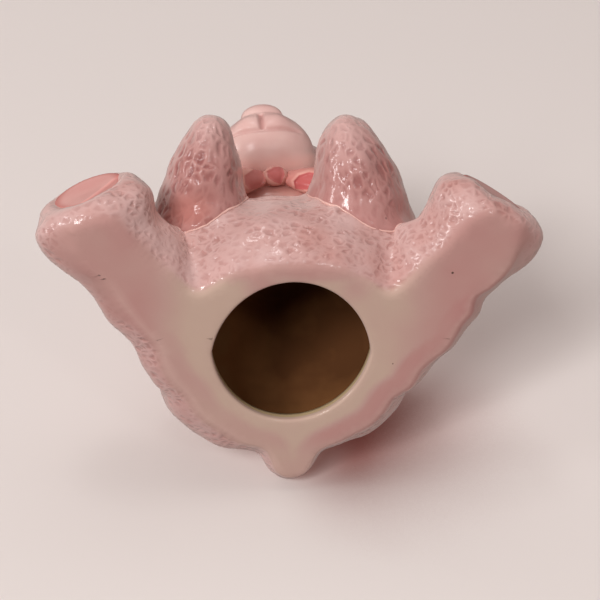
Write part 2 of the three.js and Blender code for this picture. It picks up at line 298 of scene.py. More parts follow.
fur = {"cell": 1.9 * mm, "axis": (1, 0, 0), "squeeze": 0.25, "seed": (0.0, 0.0, 0.0), "depth": 0.34 * mm,
       "ridge": "#cfaba6", "middle": "#c39c97", "pit": "#b48983"}
# colours that all the fur shares: where the brush was dry or full, a pale one for painted highlight and
# light, amber glaze run together, and a painted sheen
furColours = {"brushed": ("#ffffff", "#efdcd8"), "thin": "#dcb8b2", "amber": "#b86f62", "grazingSheen": "#fbded7"}
# the smooth seat, from bare cream to airbrushed pink, its edge with a painted highlight, and its specks
seatColours = {"blush": ("#c3a797", "#bd978e", "#b7847f"), "thin": "#d0aca2", "speck": "#5a4139"}


def furPattern(add, position, cell, axis, squeeze, seed):
    # one field for the relief and for the colour: 0 on its broad ridges, 1 in its small round pits
    along = add("ShaderNodeVectorMath", {0: position, 1: axis}, operation="DOT_PRODUCT").outputs["Value"]
    drop = add("ShaderNodeMath", {0: along, 1: squeeze}, operation="MULTIPLY").outputs[0]
    shift = add("ShaderNodeVectorMath", {0: axis, "Scale": drop}, operation="SCALE").outputs[0]
    squeezed = add("ShaderNodeVectorMath", {0: position, 1: shift}, operation="SUBTRACT").outputs[0]
    scaled = add("ShaderNodeVectorMath", {0: squeezed, 1: cell}, operation="DIVIDE").outputs[0]
    placed = add("ShaderNodeVectorMath", {0: scaled, 1: seed}, operation="ADD").outputs[0]
    wander = add("ShaderNodeTexNoise", {"Vector": placed, "Scale": 0.9, "Detail": 2.0})
    warp = add("ShaderNodeVectorMath", {0: wander.outputs["Color"], 1: (0.5, 0.5, 0.5)}, operation="SUBTRACT")
    bent = add("ShaderNodeVectorMath", {0: warp.outputs[0], 1: (1.35, 1.35, 1.35), 2: placed},
               operation="MULTIPLY_ADD").outputs[0]
    edge = add("ShaderNodeTexVoronoi", {"Vector": bent, "Scale": 1.0, "Randomness": 0.9},
               feature="DISTANCE_TO_EDGE").outputs["Distance"]
    cells = add("ShaderNodeTexVoronoi", {"Vector": bent, "Scale": 1.0, "Randomness": 0.9}, feature="F1")
    broad = add("ShaderNodeTexNoise", {"Vector": placed, "Scale": 0.6, "Detail": 1.0}).outputs[0]
    broad = add("ShaderNodeMapRange", {"Value": broad, 1: 0.3, 2: 0.7, 3: 0.3, 4: 0.5}).outputs[0]
    slope = add("ShaderNodeMapRange", {"Value": edge, 1: 0.0, 2: broad, 3: 0.0, 4: 1.0},
                interpolation_type="SMOOTHSTEP").outputs[0]
    dome = add("ShaderNodeMapRange", {"Value": cells.outputs["Distance"], 1: 0.35, 2: 1.0, 3: 1.0, 4: 0.2},
               interpolation_type="SMOOTHSTEP").outputs[0]
    chance = add("ShaderNodeSeparateXYZ", {0: cells.outputs["Color"]}).outputs[0]
    strength = add("ShaderNodeMapRange", {"Value": chance, 1: 0.0, 2: 1.0, 3: 0.45, 4: 1.0}).outputs[0]
    calm = add("ShaderNodeTexNoise", {"Vector": placed, "Scale": 0.17, "Detail": 1.0}).outputs[0]
    calm = add("ShaderNodeMapRange", {"Value": calm, 1: 0.36, 2: 0.62, 3: 0.4, 4: 1.0}).outputs[0]
    pit = slope
    for share in (dome, strength, calm):
        pit = add("ShaderNodeMath", {0: pit, 1: share}, operation="MULTIPLY").outputs[0]
    return pit


def newGlaze(name):
    material = bpy.data.materials.new(name)
    material.use_nodes = True
    material.node_tree.nodes.clear()
    add = partial(addNode, material.node_tree)
    return material, add, add("ShaderNodeTexCoord").outputs["Object"]


# glazed earthenware, brushed pink over modelled fur: the glaze runs thin and pale on the ridges,
# and pools deep pink in the pits, under a glassy skin
def furGlaze(name, lie):
    material, add, spot = newGlaze(name)
    cell = (lie["cell"],) * 3
    pit = furPattern(add, spot, cell, lie["axis"], lie["squeeze"], lie["seed"])
    traits = {key: add("ShaderNodeAttribute", attribute_name=key).outputs["Fac"]
              for key in ("fur", "blush", "rim", "stain")}
    net = add("ShaderNodeValToRGB", {0: pit},
              stops=((0.0, lie["ridge"]), (0.4, lie["middle"]), (1.0, lie["pit"]))).outputs[0]
    # clouds of 9 mm where the brush left more or less pink
    cloud = add("ShaderNodeTexNoise", {"Vector": spot, "Scale": 1 / (9 * mm), "Detail": 2.0}).outputs[0]
    tone = add("ShaderNodeValToRGB", {0: cloud}, stops=zip((0.30, 0.72), furColours["brushed"])).outputs[0]
    net = add("ShaderNodeMix", {0: 1.0, 6: net, 7: tone}, data_type="RGBA", blend_type="MULTIPLY").outputs[2]
    # paler where the rim attribute asks, as a painted highlight along the seat's edge, painted light on a
    # shaded hip, and towards the paws; and amber glaze run together at a shoulder
    for share, hexText in ((traits["rim"], furColours["thin"]), (traits["stain"], furColours["amber"])):
        net = add("ShaderNodeMix", {0: share, 6: net, 7: linear(hexText)}, data_type="RGBA").outputs[2]
    # the smooth seat: bare cream by the hole, airbrushed pink along its edge and under the feet
    haze = add("ShaderNodeTexNoise", {"Vector": spot, "Scale": 1 / (16 * mm), "Detail": 2.0}).outputs[0]
    haze = add("ShaderNodeMapRange", {"Value": haze, 1: 0.3, 2: 0.7, 3: -0.12, 4: 0.12}).outputs[0]
    pink = add("ShaderNodeMath", {0: traits["blush"], 1: haze}, operation="ADD", use_clamp=True).outputs[0]
    plain = add("ShaderNodeValToRGB", {0: pink}, stops=zip((0.0, 0.5, 1.0), seatColours["blush"])).outputs[0]
    # a dark speck of about 0.6 mm here and there
    grains = add("ShaderNodeTexVoronoi", {"Vector": spot, "Scale": 1 / (9 * mm)},
                 feature="F1").outputs["Distance"]
    speck = add("ShaderNodeMapRange", {"Value": grains, 1: 0.028, 2: 0.04, 3: 1.0, 4: 0.0}).outputs[0]
    for share, hexText in ((traits["rim"], seatColours["thin"]), (speck, seatColours["speck"])):
        plain = add("ShaderNodeMix", {0: share, 6: plain, 7: linear(hexText)}, data_type="RGBA").outputs[2]
    colour = add("ShaderNodeMix", {0: traits["fur"], 6: plain, 7: net}, data_type="RGBA").outputs[2]
    # painted sheen: the figure pales where its surface turns away, as the glaze would mirror the bright room
    # there
    sheenShare = add("ShaderNodeLayerWeight", {"Blend": 0.5}).outputs["Facing"]
    sheenShare = add("ShaderNodeMapRange", {"Value": sheenShare, 1: 0.45, 2: 0.95, 3: 0.0, 4: 0.8}).outputs[0]
    colour = add("ShaderNodeMix", {0: sheenShare, 6: colour, 7: linear(furColours["grazingSheen"])},
                 data_type="RGBA").outputs[2]
    low = add("ShaderNodeMath", {0: 1.0, 1: pit}, operation="SUBTRACT").outputs[0]
    height = add("ShaderNodeMath", {0: low, 1: traits["fur"]}, operation="MULTIPLY").outputs[0]
    bump = add("ShaderNodeBump", {"Strength": 0.45, "Distance": 0.3 * mm, "Height": height})
    skin = add("ShaderNodeBsdfPrincipled", {
        "Base Color": colour, "Normal": bump.outputs[0], "Roughness": 0.15, "IOR": 1.5})
    add("ShaderNodeOutputMaterial", {"Surface": skin.outputs[0]})
    return material


# smooth brushed glaze: pale where thin, deeper where its attribute says: gathered glaze on some pieces,
# painted shade on others
def plainGlaze(name, pale, deep, poolAndShade, cloudSize, roughness=0.18, bare=None):
    material, add, spot = newGlaze(name)
    cloud = add("ShaderNodeTexNoise", {"Vector": spot, "Scale": 1 / cloudSize, "Detail": 2.0}).outputs[0]
    thin = add("ShaderNodeValToRGB", {0: cloud}, stops=((0.35, pale), (0.65, deep))).outputs[0]
    gathered = add("ShaderNodeAttribute", attribute_name="poolAndShade").outputs["Fac"]
    colour = add("ShaderNodeMix", {0: gathered, 6: thin, 7: linear(poolAndShade)}, data_type="RGBA").outputs[2]
    if bare:  # painted light, paler where the rim attribute asks
        lightShare = add("ShaderNodeAttribute", attribute_name="rim").outputs["Fac"]
        colour = add("ShaderNodeMix", {0: lightShare, 6: colour, 7: linear(bare)}, data_type="RGBA").outputs[2]
    bump = add("ShaderNodeBump", {"Strength": 0.1, "Distance": 0.2 * mm, "Height": cloud})
    skin = add("ShaderNodeBsdfPrincipled", {
        "Base Color": colour, "Normal": bump.outputs[0], "Roughness": roughness, "IOR": 1.5})
    add("ShaderNodeOutputMaterial", {"Surface": skin.outputs[0]})
    return material


# unglazed earthenware, as poured, quite matt: its pale olive by the hole, darkening to brown up the hollow,
# is painted shade
def rawClay(name):
    material, add, spot = newGlaze(name)
    # painted shade, deepening up the hollow
    stained = add("ShaderNodeAttribute", attribute_name="poolAndShade").outputs["Fac"]
    cloud = add("ShaderNodeTexNoise", {"Vector": spot, "Scale": 1 / (9 * mm), "Detail": 2.0}).outputs[0]
    cloud = add("ShaderNodeMapRange", {"Value": cloud, 1: 0.3, 2: 0.7, 3: -0.05, 4: 0.05}).outputs[0]
    depth = add("ShaderNodeMath", {0: stained, 1: cloud}, operation="ADD", use_clamp=True).outputs[0]
    colour = add("ShaderNodeValToRGB", {0: depth}, stops=(
        (0.0, "#b8a07c"), (0.35, "#a58a5f"), (0.62, "#9a683f"), (1.0, "#5a3821"))).outputs[0]
    skin = add("ShaderNodeBsdfPrincipled", {
        "Base Color": colour, "Roughness": 0.9, "Specular IOR Level": 0.1})
    add("ShaderNodeOutputMaterial", {"Surface": skin.outputs[0]})
    return material


bodyGlaze = furGlaze("glazedEarthenwareBody", fur)
rawInside = rawClay("unglazedEarthenwareInsidePaintedShade")
# its last colour is painted light under the chin
muzzleGlaze = plainGlaze("glazedEarthenwareMuzzle", "#dfbbb3", "#d8aea7", "#b47a75", 8 * mm, 0.28, "#fac9bf")
# the pads' deepest colour is painted shade round their sunk edge
padGlaze = plainGlaze("glazedEarthenwarePad", "#e1a9a1", "#da9d96", "#c87d75", 7 * mm)
roseGlaze = plainGlaze("glazedEarthenwareRose", "#efb1a3", "#e19e92", "#c56462", 4 * mm, 0.2)
bandGlaze = plainGlaze("glazedEarthenwareBand", "#e6b4aa", "#dca398", "#c27d74", 4 * mm, 0.2)
# pooled clear glaze, its pale colour partly a painted highlight along the crease
beadGlaze = plainGlaze("pooledClearGlazePaintedHighlight", "#e6bdb3", "#deb0a6", "#deb0a6", 4 * mm, 0.08)
darkGlaze = plainGlaze("glazedEarthenwareDark", "#2a1b17", "#1c110e", "#1c110e", 3 * mm, 0.06)
print("glazes mixed")


# the fur's relief: pits pressed in along the normal, where the mask asks for them
def furTree():
    tree = bpy.data.node_groups.new("modelledFur", "GeometryNodeTree")
    kinds = {"cell": "NodeSocketVector", "axis": "NodeSocketVector", "squeeze": "NodeSocketFloat",
             "seed": "NodeSocketVector", "depth": "NodeSocketFloat", "glaze": "NodeSocketMaterial",
             "inside": "NodeSocketMaterial"}
    tree.interface.new_socket("shape", in_out="INPUT", socket_type="NodeSocketGeometry")
    for name, kind in kinds.items():
        tree.interface.new_socket(name, in_out="INPUT", socket_type=kind)
    tree.interface.new_socket("shape", in_out="OUTPUT", socket_type="NodeSocketGeometry")
    add = partial(addNode, tree)
    given = add("NodeGroupInput").outputs
    position = add("GeometryNodeInputPosition").outputs[0]
    normal = add("GeometryNodeInputNormal").outputs[0]
    pit = furPattern(add, position, given["cell"], given["axis"], given["squeeze"], given["seed"])
    mask, hollow = (add("GeometryNodeInputNamedAttribute", {"Name": key},
                        data_type="FLOAT").outputs["Attribute"] for key in ("fur", "hollow"))
    for share in (mask, given["depth"], -1.0):      # inward, as deep as asked
        pit = add("ShaderNodeMath", {0: pit, 1: share}, operation="MULTIPLY").outputs[0]
    offset = add("ShaderNodeVectorMath", {0: normal, "Scale": pit}, operation="SCALE").outputs[0]
    moved = add("GeometryNodeSetPosition", {"Geometry": given["shape"], "Offset": offset})
    real = add("GeometryNodeRealizeInstances", {"Geometry": moved.outputs[0]})
    coat = add("GeometryNodeSetMaterial", {"Geometry": real.outputs[0], "Material": given["glaze"]})
    within = add("FunctionNodeCompare", {0: hollow, 1: 0.75}, data_type="FLOAT", operation="GREATER_THAN")
    lining = add("GeometryNodeSetMaterial", {
        "Geometry": coat.outputs[0], "Selection": within.outputs[0], "Material": given["inside"]})
    add("NodeGroupOutput", {"shape": lining.outputs[0]})
    return tree


relief = furTree()


def furred(piece, glaze, lie):
    coat = piece.modifiers.new("fur", "NODES")
    coat.node_group = relief
    chosen = {key: lie[key] for key in ("axis", "squeeze", "seed", "depth")}
    chosen.update(cell=(lie["cell"],) * 3, glaze=glaze, inside=rawInside)
    for item in relief.interface.items_tree:
        if item.in_out == "INPUT" and item.name in chosen:
            coat[item.identifier] = chosen[item.name]
    return applied(piece)


# casting: seat, body, legs and tail in one skin, as they leave the mould

casting = {
    "nodes": ("base_plate", "torso_shell", "left_leg", "right_leg", "tail"),
    "rough": 0.8 * mm, "grow": 0.3 * mm, "voxel": 1.05 * mm,
    "steps": (10, 2, 3),                                 # on the rough skin, the fine one and the cut one
    "below": 5 * mm, "cut": 0.6 * mm,                    # the skin runs on below the seat, and is cut there
    "onSeat": 0.05 * mm, "snap": (0.12 * mm, 0.1 * mm),  # how close counts as on the seat, and on each cut
    "holePlug": 22 * mm, "plugTop": 3.2 * mm,            # closes the hole while the skin is drawn
    "neck": (0.58 * mm, 9.1 * mm), "neckRadius": 10.8 * mm, "neckFoot": 44 * mm, "neckTop": 56.5 * mm,
    "round": 1.3 * mm, "frontRound": (2.2 * mm, 3.6 * mm),      # the seat's edge, behind and before
    "lump": 0.9 * mm, "lumpSize": 7 * mm,
    "tuck": 2.6 * mm, "bulge": 1.9 * mm,                 # the sides tuck in under the hips to the seat's edge
    "bulgeHeight": 4.8 * mm, "bulgeEnd": 14 * mm,
    "leftShare": 0.4, "leftSide": (-4 * mm, 8 * mm),     # less so on the bear's left, and by the tail
    "tailShare": 0.25, "tailX": 2 * mm, "tailHalf": 18 * mm, "tailY": (29 * mm, 34 * mm), "tailSharp": 0.7,
    # heel, calf and ankle as they stand out from or dip below a plain leg: x, y, radius and height, all mm
    "swells": ((56.8, -18.1, 12, 0.9), (44.2, 0.6, 13, 1.2), (47.6, -9.3, 5, -1.0), (-48.0, -11.5, 13, -3.0),
               (-38.0, 3.0, 15, -2.9), (-59.0, -31.0, 9, 0.6)),
    "swellEnd": (6 * mm, 16 * mm), "formFoot": (0.5 * mm, 4 * mm),      # heights where they fade
    # thigh, ankle and inner foot, in the round: x, y, z, radius and height, all mm
    "forms": ((-29.0, -21.0, 13.0, 10, 2.6), (-33.5, -26.0, 6.5, 6, 0.6), (-37.5, -35.0, 9.0, 7, 1.0),
              (30.5, -23.5, 11.0, 9, 2.2), (35.2, -31.5, 7.0, 4.5, -1.0), (28.5, -21.5, 14.0, 7, 1.8)),
    # pink by the hole: x, y and radius in mm, and how much; and fur painted paler as light on a shaded hip,
    # with its z as well
    "smudges": ((-6.8, -16.1, 8, 0.7), (15.1, -15.0, 7, 0.5)),
    "thin": ((-31.0, -24.0, 8.0, 13, 0.6),),
    "lip": 0.8 * mm, "lipSteps": 4, "turns": 144,
    "holeDrop": 1.0 * mm, "holeStretch": 0.02,           # the hole is worn wider behind
    "fillet": 1.9 * mm, "filletReach": 4.5 * mm,         # clay drawn up to the arms
    # rings of the hole, mm, and then of the hollow, which leans to the neck
    "outlineHeight": 1.5 * mm, "shaft": (1.4, 2.2, 3.0), "lean": (20, 46),
    "levels": (4.0, 6.5, 10, 14, 19, 24, 29, 34, 39, 43, 46, 50, 55),
    "grid": 1.5 * mm, "row": 0.866, "gridClear": 0.6,    # the seat's triangles, their height and free edge
}

# where each tint and the fur begin and end, mm; the hollow's darkening with height is painted shade, and the
# pale strip at the seat's edge a painted highlight
tints = {"lip": 21, "lipTop": 1.5, "heel": (38, 46), "heelRise": 4.5, "thigh": (20, 26),
         "thighFront": (-36, -31), "thighRise": 0.7, "furFoot": (0.15, 1.3), "soleDepth": (-4, -1),
         "soleEdge": (8.5, 9.8), "hipLine": (14, 21), "band": (3.6, 6.6), "bandTail": (27, 36),
         "bandSide": (-5, 10), "belly": (15, 18), "bellyHalf": 30, "feet": (22, 38), "stained": (2, 29),
         "litSide": (-2, 16), "bareEdge": (0.2, 1.2)}
tints = {key: np.array(value) * mm for key, value in tints.items()}
# how strong they are: pink along the edge, more of it on the left, less by the tail, and so on
# of these, the seat edge's pale strip is a painted highlight and the hollow's paler left wall is painted
# light
amounts = {"band": 0.45, "bandLeft": 0.45, "bandTail": 0.5, "pink": 0.75, "bare": 0.35, "lit": 0.42}


def soleFrame(side):  # the pad's middle, and the way its sole looks
    points = pointsOf(frame["nodes"][side + "_sole_pad"].data)
    middle = (points.min(0) + points.max(0)) / 2
    facing = np.linalg.svd(points - points.mean(0), full_matrices=False)[2][2]
    return middle, facing * (-1 if facing[1] > 0 else 1)


def fromSole(points, side):  # height above the sole's plane, and distance from its middle
    middle, facing = soleFrame(side)
    depth = (points - middle) @ facing
    return depth, np.linalg.norm(points - middle - depth[:, None] * facing, axis=1)


def facesBack(normals):  # 0 towards the face's side, 1 towards the tail's
    return smoothStep(-0.45, 0.2, normals[:, 1])


def plug(shape, middle, radius, low, high):
    place = Matrix.Translation((middle[0], middle[1], (low + high) / 2))
    bmesh.ops.create_cone(shape, cap_ends=True, segments=64, radius1=radius, radius2=radius,
                          depth=high - low, matrix=place)


def cutAt(shape, height, snap, level):  # drops all that is lower, and can level what is about as high
    parts = shape.verts[:] + shape.edges[:] + shape.faces[:]
    bmesh.ops.bisect_plane(shape, geom=parts, dist=snap, plane_co=(0, 0, height), plane_no=(0, 0, 1),
                           clear_inner=True, use_snap_center=level)


def solidSkin(sizes):  # all five nodes as one solid with rounded creases, cut off at the seat
    whole = bmesh.new()
    for node in sizes["nodes"]:
        part = mergedCopy("part", node)
        points = pointsOf(part.data)
        points[points[:, 2] < sizes["onSeat"], 2] = -sizes["below"]
        setPoints(part.data, points)
        grown(reskinned(part, sizes["rough"]), sizes["grow"])
        whole.from_mesh(part.data)
        bpy.data.objects.remove(part)
    plug(whole, holeMiddle, sizes["holePlug"], -sizes["below"], sizes["plugTop"])
    plug(whole, sizes["neck"], sizes["neckRadius"], sizes["neckFoot"], sizes["neckTop"])
    mesh = bpy.data.meshes.new("casting")
    whole.to_mesh(mesh)
    whole.free()
    piece = reskinned(newPiece("casting", mesh), sizes["rough"])
    relaxed(piece, sizes["steps"][0])
    relaxed(reskinned(piece, sizes["voxel"]), sizes["steps"][1])
    shape = bmesh.new()
    shape.from_mesh(piece.data)
    cutAt(shape, -sizes["cut"], sizes["snap"][0], False)
    bmesh.ops.subdivide_edges(shape, edges=shape.edges[:], cuts=1, use_grid_fill=True)
    shape.to_mesh(piece.data)
    shape.clear()
    relaxed(piece, sizes["steps"][2])
    shape.from_mesh(piece.data)
    cutAt(shape, 0, sizes["snap"][1], True)
    shape.to_mesh(piece.data)
    shape.free()
    return piece


def tucked(piece, sizes):
    points, normals = pointsOf(piece.data), normalsOf(piece.data)
    normals[:, 2] = 0
    x, y, z = points.T
    share = facesBack(normals)                           # the front stays as it is
    front = 1 - share
    share = share * (1 - (1 - sizes["leftShare"]) * smoothStep(*sizes["leftSide"], x))
    tail = smoothStep(*sizes["tailY"], y) * hump(abs(x - sizes["tailX"]), sizes["tailHalf"]) ** 0.5
    share *= 1 - (1 - sizes["tailShare"]) * tail
    peak, end = sizes["bulgeHeight"], sizes["bulgeEnd"]
    swell = smoothStep(0, peak, z) * (1 - smoothStep(peak, end, z))
    out = share * (sizes["bulge"] * swell - sizes["tuck"] * np.clip(1 - z / peak, 0, 1) ** 2)
    reach = sizes["round"] + front * (sizes["frontRound"][0] - sizes["round"])
    height = sizes["round"] + front * (sizes["frontRound"][1] - sizes["round"])
    low = np.clip(1 - z / height, 0, 1)
    out -= reach * (1 - sizes["tailSharp"] * tail) * (1 - np.sqrt(1 - low ** 2))
    out += sizes["lump"] * lumps(points, sizes["lumpSize"])
    for across, along, radius, height in sizes["swells"]:
        distance = np.hypot(x - across * mm, y - along * mm)
        out += height * mm * hump(distance, radius * mm) * (1 - smoothStep(*sizes["swellEnd"], z))
    points = points + out[:, None] * normals
    rise = smoothStep(*sizes["formFoot"], z)
    for *middle, radius, height in sizes["forms"]:
        distance = np.linalg.norm(points - np.array(middle) * mm, axis=1)
        points = points + (height * mm * hump(distance, radius * mm) * rise)[:, None] * normalsOf(piece.data)
    setPoints(piece.data, points)
    return piece


def ringAt(trees, middle, height, turns):  # where rays from the middle first meet the clay
    ring = []
    for i in range(turns):
        angle = 2 * math.pi * (i + 0.3) / turns     # clear of the clay's own corners
        ray = Vector((math.cos(angle), math.sin(angle), 0))
        hits = [t.ray_cast(Vector((middle[0], middle[1], height)), ray) for t in trees]
        hits = [h for h in hits if h[0] is not None]
        ring.append(min(hits, key=lambda h: h[3])[0])
    return np.array(ring)


def hollowRings(sizes):  # from the seat over the hole's lip, up the hollow and into the neck
    plate, torso = (treeOf(frame["nodes"][n].data) for n in ("base_plate", "torso_shell"))
    lip, turns = sizes["lip"], sizes["turns"]
    outline = ringAt([plate], holeMiddle, sizes["outlineHeight"], turns)
    outline[:, 1] += sizes["holeDrop"] + sizes["holeStretch"] * (outline[:, 1] - holeMiddle.y)
    radial = outline - np.array(holeMiddle)
    radial[:, 2] = 0
    radial /= np.linalg.norm(radial, axis=1)[:, None]
    rings, inside = [], []
    for step in range(sizes["lipSteps"] + 1):
        angle = step / sizes["lipSteps"] * math.pi / 2
        ring = outline + radial * lip * (1 - math.sin(angle))
        ring[:, 2] = lip * (1 - math.cos(angle))
        rings.append(ring)
        inside.append(0)
    for height in sizes["shaft"]:
        ring = outline.copy()
        ring[:, 2] = height * mm
        rings.append(ring)
        inside.append(1)
    start, end = np.array(holeMiddle[:2]), np.array(sizes["neck"])
    for level in sizes["levels"]:
        share = smoothStep(*sizes["lean"], np.float64(level))
        rings.append(ringAt([torso], start + share * (end - start), level * mm, turns))
        inside.append(1)
    return rings, inside


def insideOf(points, loop):  # which points lie within a closed outline, by crossing count
    ends = np.roll(loop, -1, axis=0)
    count = np.zeros(len(points), int)
    for (x0, y0), (x1, y1) in zip(loop, ends):
        if y0 == y1:
            continue
        spans = (points[:, 1] > y0) != (points[:, 1] > y1)
        count += spans & (points[:, 0] < x0 + (points[:, 1] - y0) / (y1 - y0) * (x1 - x0))
    return count % 2 == 1


def edgeLoop(shape):  # the open edge in order
    first = next(e for e in shape.edges if e.is_boundary)
    loop, edge = [first.verts[0]], first
    while True:
        vert = edge.other_vert(loop[-1])
        if vert is loop[0]:
            return loop
        loop.append(vert)
        edge = next(e for e in vert.link_edges if e.is_boundary and e is not edge)


def seated(piece, sizes):  # closes the skin with the flat seat, the lip and the hollow
    rings, inside = hollowRings(sizes)
    shape = bmesh.new()
    shape.from_mesh(piece.data)
    hollow = shape.verts.layers.float.new("hollow")
    loop = edgeLoop(shape)
    outer = np.array([v.co[:2] for v in loop])
    inner = rings[0][:, :2]
    grid = sizes["grid"]
    low, high = outer.min(0), outer.max(0)
    rows = np.arange(low[1], high[1], grid * sizes["row"])
    spots = np.array([(x + (k % 2) * grid / 2, y) for k, y in enumerate(rows)
                      for x in np.arange(low[0], high[0], grid)])
    near = flatTree(np.concatenate((outer, inner)))
    clear = np.array([near.find((x, y, 0))[2] > sizes["gridClear"] * grid for x, y in spots])
    spots = spots[clear & insideOf(spots, outer) & ~insideOf(spots, inner)]
    flat = np.concatenate((outer, inner, spots))
    a, b = len(outer), len(inner)
    edges = [(i, (i + 1) % a) for i in range(a)] + [(a + i, a + (i + 1) % b) for i in range(b)]
    made = delaunay_2d_cdt([Vector(p) for p in flat], edges, [], 0, 1e-9)
    source = [s[0] for s in made[3]]
    verts = loop + [shape.verts.new((x, y, 0)) for x, y in flat[a:]]
    faces = np.array(made[2])
    centres = np.array([made[0][i][:] for i in faces.ravel()]).reshape(-1, 3, 2).mean(1)
    for face in faces[insideOf(centres, outer) & ~insideOf(centres, inner)]:
        shape.faces.new([verts[source[i]] for i in face])
    last = verts[a:a + b]
    for ring, within in zip(rings[1:], inside[1:]):
        fresh = [shape.verts.new(p) for p in ring]
        for vert in fresh:
            vert[hollow] = within
        for i in range(b):
            shape.faces.new((last[i], last[(i + 1) % b], fresh[(i + 1) % b], fresh[i]))
        last = fresh
    top = shape.verts.new(np.mean([v.co for v in last], 0))
    top[hollow] = 1
    for i in range(b):
        shape.faces.new((last[i], last[(i + 1) % b], top))
    bmesh.ops.recalc_face_normals(shape, faces=shape.faces[:])
    shape.to_mesh(piece.data)
    shape.free()
    return piece, outer


def coloured(piece, outer, sizes):  # where the fur, the airbrushed pink, the painted highlight and light, and the painted shade in the hollow lie
    points, normals = pointsOf(piece.data), normalsOf(piece.data)
    x, y, z = points.T
    hollow = np.empty(len(points), np.float32)
    piece.data.attributes["hollow"].data.foreach_get("value", hollow)
    fromHole = np.hypot(x - holeMiddle.x, y - holeMiddle.y)
    within = (hollow > 0.5) | (fromHole < tints["lip"]) & (z < tints["lipTop"])
    # smooth under the heels and along the thighs
    heel = smoothStep(*tints["heel"], abs(x)) * smoothStep(-0.6, 0.0, normals[:, 1])
    thigh = smoothStep(*tints["thigh"], abs(x)) * (1 - facesBack(normals))
    thigh *= smoothStep(*tints["thighFront"], y)
    furFoot, furFull = tints["furFoot"]
    mask = smoothStep(furFoot, furFull + tints["heelRise"] * heel + tints["thighRise"] * thigh, z) * ~within
    for side in ("left", "right"):
        depth, spread = fromSole(points, side)
        mask *= 1 - smoothStep(*tints["soleDepth"], depth) * (1 - smoothStep(*tints["soleEdge"], spread))
    edge = flatTree(outer)
    inward = np.array([edge.find((p[0], p[1], 0))[2] if p[2] < 1 * mm else 1.0 for p in points])
    behind = smoothStep(*tints["hipLine"], y + 0.75 * abs(x))       # the hips' side of the legs' middle line
    band = (1 - smoothStep(*tints["band"], inward)) * behind
    band *= 1 - amounts["bandTail"] * smoothStep(*tints["bandTail"], y)
    band *= amounts["band"] + amounts["bandLeft"] * smoothStep(*tints["bandSide"], x)
    belly = smoothStep(*tints["belly"], -y) * hump(abs(x), tints["bellyHalf"]) ** 0.5
    pink = amounts["pink"] * np.maximum(smoothStep(*tints["feet"], abs(x)), belly)
    for across, along, radius, amount in sizes["smudges"]:
        pink = np.maximum(pink, amount * hump(np.hypot(x - across * mm, y - along * mm), radius * mm))
    # painted highlight: a pale strip along the seat's edge on the hips' side; and painted light: paler fur on
    # a hip in shade
    bare = amounts["bare"] * (1 - smoothStep(*tints["bareEdge"], inward)) * behind
    for *middle, radius, amount in sizes["thin"]:
        distance = np.linalg.norm(points - np.array(middle) * mm, axis=1)
        bare = np.maximum(bare, amount * hump(distance, radius * mm))
    setAttribute(piece, "fur", mask)
    # painted shade up the hollow, painted lighter on its left wall as light
    setAttribute(piece, "poolAndShade", smoothStep(*tints["stained"], z)
                 * (1 - amounts["lit"] * smoothStep(*tints["litSide"], holeMiddle.x - x)))
    setAttribute(piece, "blush", np.maximum(band, pink))
    setAttribute(piece, "rim", bare)


def makeCasting(sizes):
    piece = tucked(solidSkin(sizes), sizes)
    for side in ("left", "right"):
        filleted(piece, treeOf(frame["nodes"][side + "_arm"].data), sizes["filletReach"], sizes["fillet"])
    piece, outer = seated(piece, sizes)
    coloured(piece, outer, sizes)
    return furred(piece, bodyGlaze, fur)


body = makeCasting(casting)
bodyTree = treeOf(body.data)
finished(body, "pink_glaze", *casting["nodes"])


# arms: long fur that runs out to the paws, and a bead of clear glaze where each is luted to the belly, pale
# to paint its highlight

arms = {"left": {"shoulder": (23.3, -3.0, 27.5), "paw": (13.8, -45.5, 32.7)},
        "right": {"shoulder": (-24.0, -3.0, 27.5), "paw": (-18.7, -45.5, 32.7)},
        "voxel": 0.42 * mm, "steps": 20, "turns": 200, "stride": 0.4 * mm,
        "search": (0.95, -0.2),             # shares of the way to the paw where the crease is looked for
        # the bead's radius, sides, and how it runs thick and thin; it stands out of the crease
        "bead": 0.3 * mm, "beadSides": 8, "beadThick": (0.8, 0.9), "beadRun": 5 * mm, "clear": 0.14 * mm,
        "fillet": 1.2 * mm, "filletReach": 4.5 * mm,
        "smooth": {"left": 0.75, "right": 0.3}, "smoothReach": 8 * mm,  # by the belly
        "pale": 0.75, "paleFrom": 0.72, "paleTo": 1.1,                  # shares of the way to the paw
        "stain": {"spot": (188, 211), "half": (38, 25),     # picture pixels, on the right arm
                  "amount": 0.9, "smooth": 0.5},
        "fur": {"cell": 2.3 * mm, "squeeze": 0.45, "seed": (3.1, 0.7, 5.3), "depth": 0.5 * mm,
                "ridge": "#bb8e89", "middle": "#a3716d", "pit": "#89504e"}}


uneven = {"grow": 0.3 * mm, "lump": 0.7 * mm, "lumpSize": 6 * mm}


def makeFurred(name, node, voxel, steps, glaze, lie):
    piece = grown(relaxed(reskinned(mergedCopy(name, node), voxel), steps), uneven["grow"])
    points = pointsOf(piece.data)
    grown(piece, uneven["lump"] * lumps(points, uneven["lumpSize"]))
    smooth = np.zeros(len(points))
    if "reach" in lie:      # an arm: paler towards the paw, drawn smooth to the belly
        stain = arms["stain"]
        place = (inPicture(points) - np.array(stain["spot"])) / np.array(stain["half"])
        stained = stain["amount"] * hump(np.linalg.norm(place, axis=1), 1) * (node == "right_arm")
        setAttribute(piece, "stain", stained)
        along = (points - np.array(lie["start"])) @ np.array(lie["axis"]) / lie["reach"]
        setAttribute(piece, "rim", arms["pale"] * smoothStep(arms["paleFrom"], arms["paleTo"], along))
        filleted(piece, bodyTree, arms["filletReach"], arms["fillet"])
        near = closeness(points, bodyTree, arms["smoothReach"])
        smooth = np.maximum(stain["smooth"] * stained, lie["smooth"] * near)
        setAttribute(piece, "blush", np.ones(len(points)))
    setAttribute(piece, "fur", 1 - smooth)
    return furred(piece, glaze, lie)


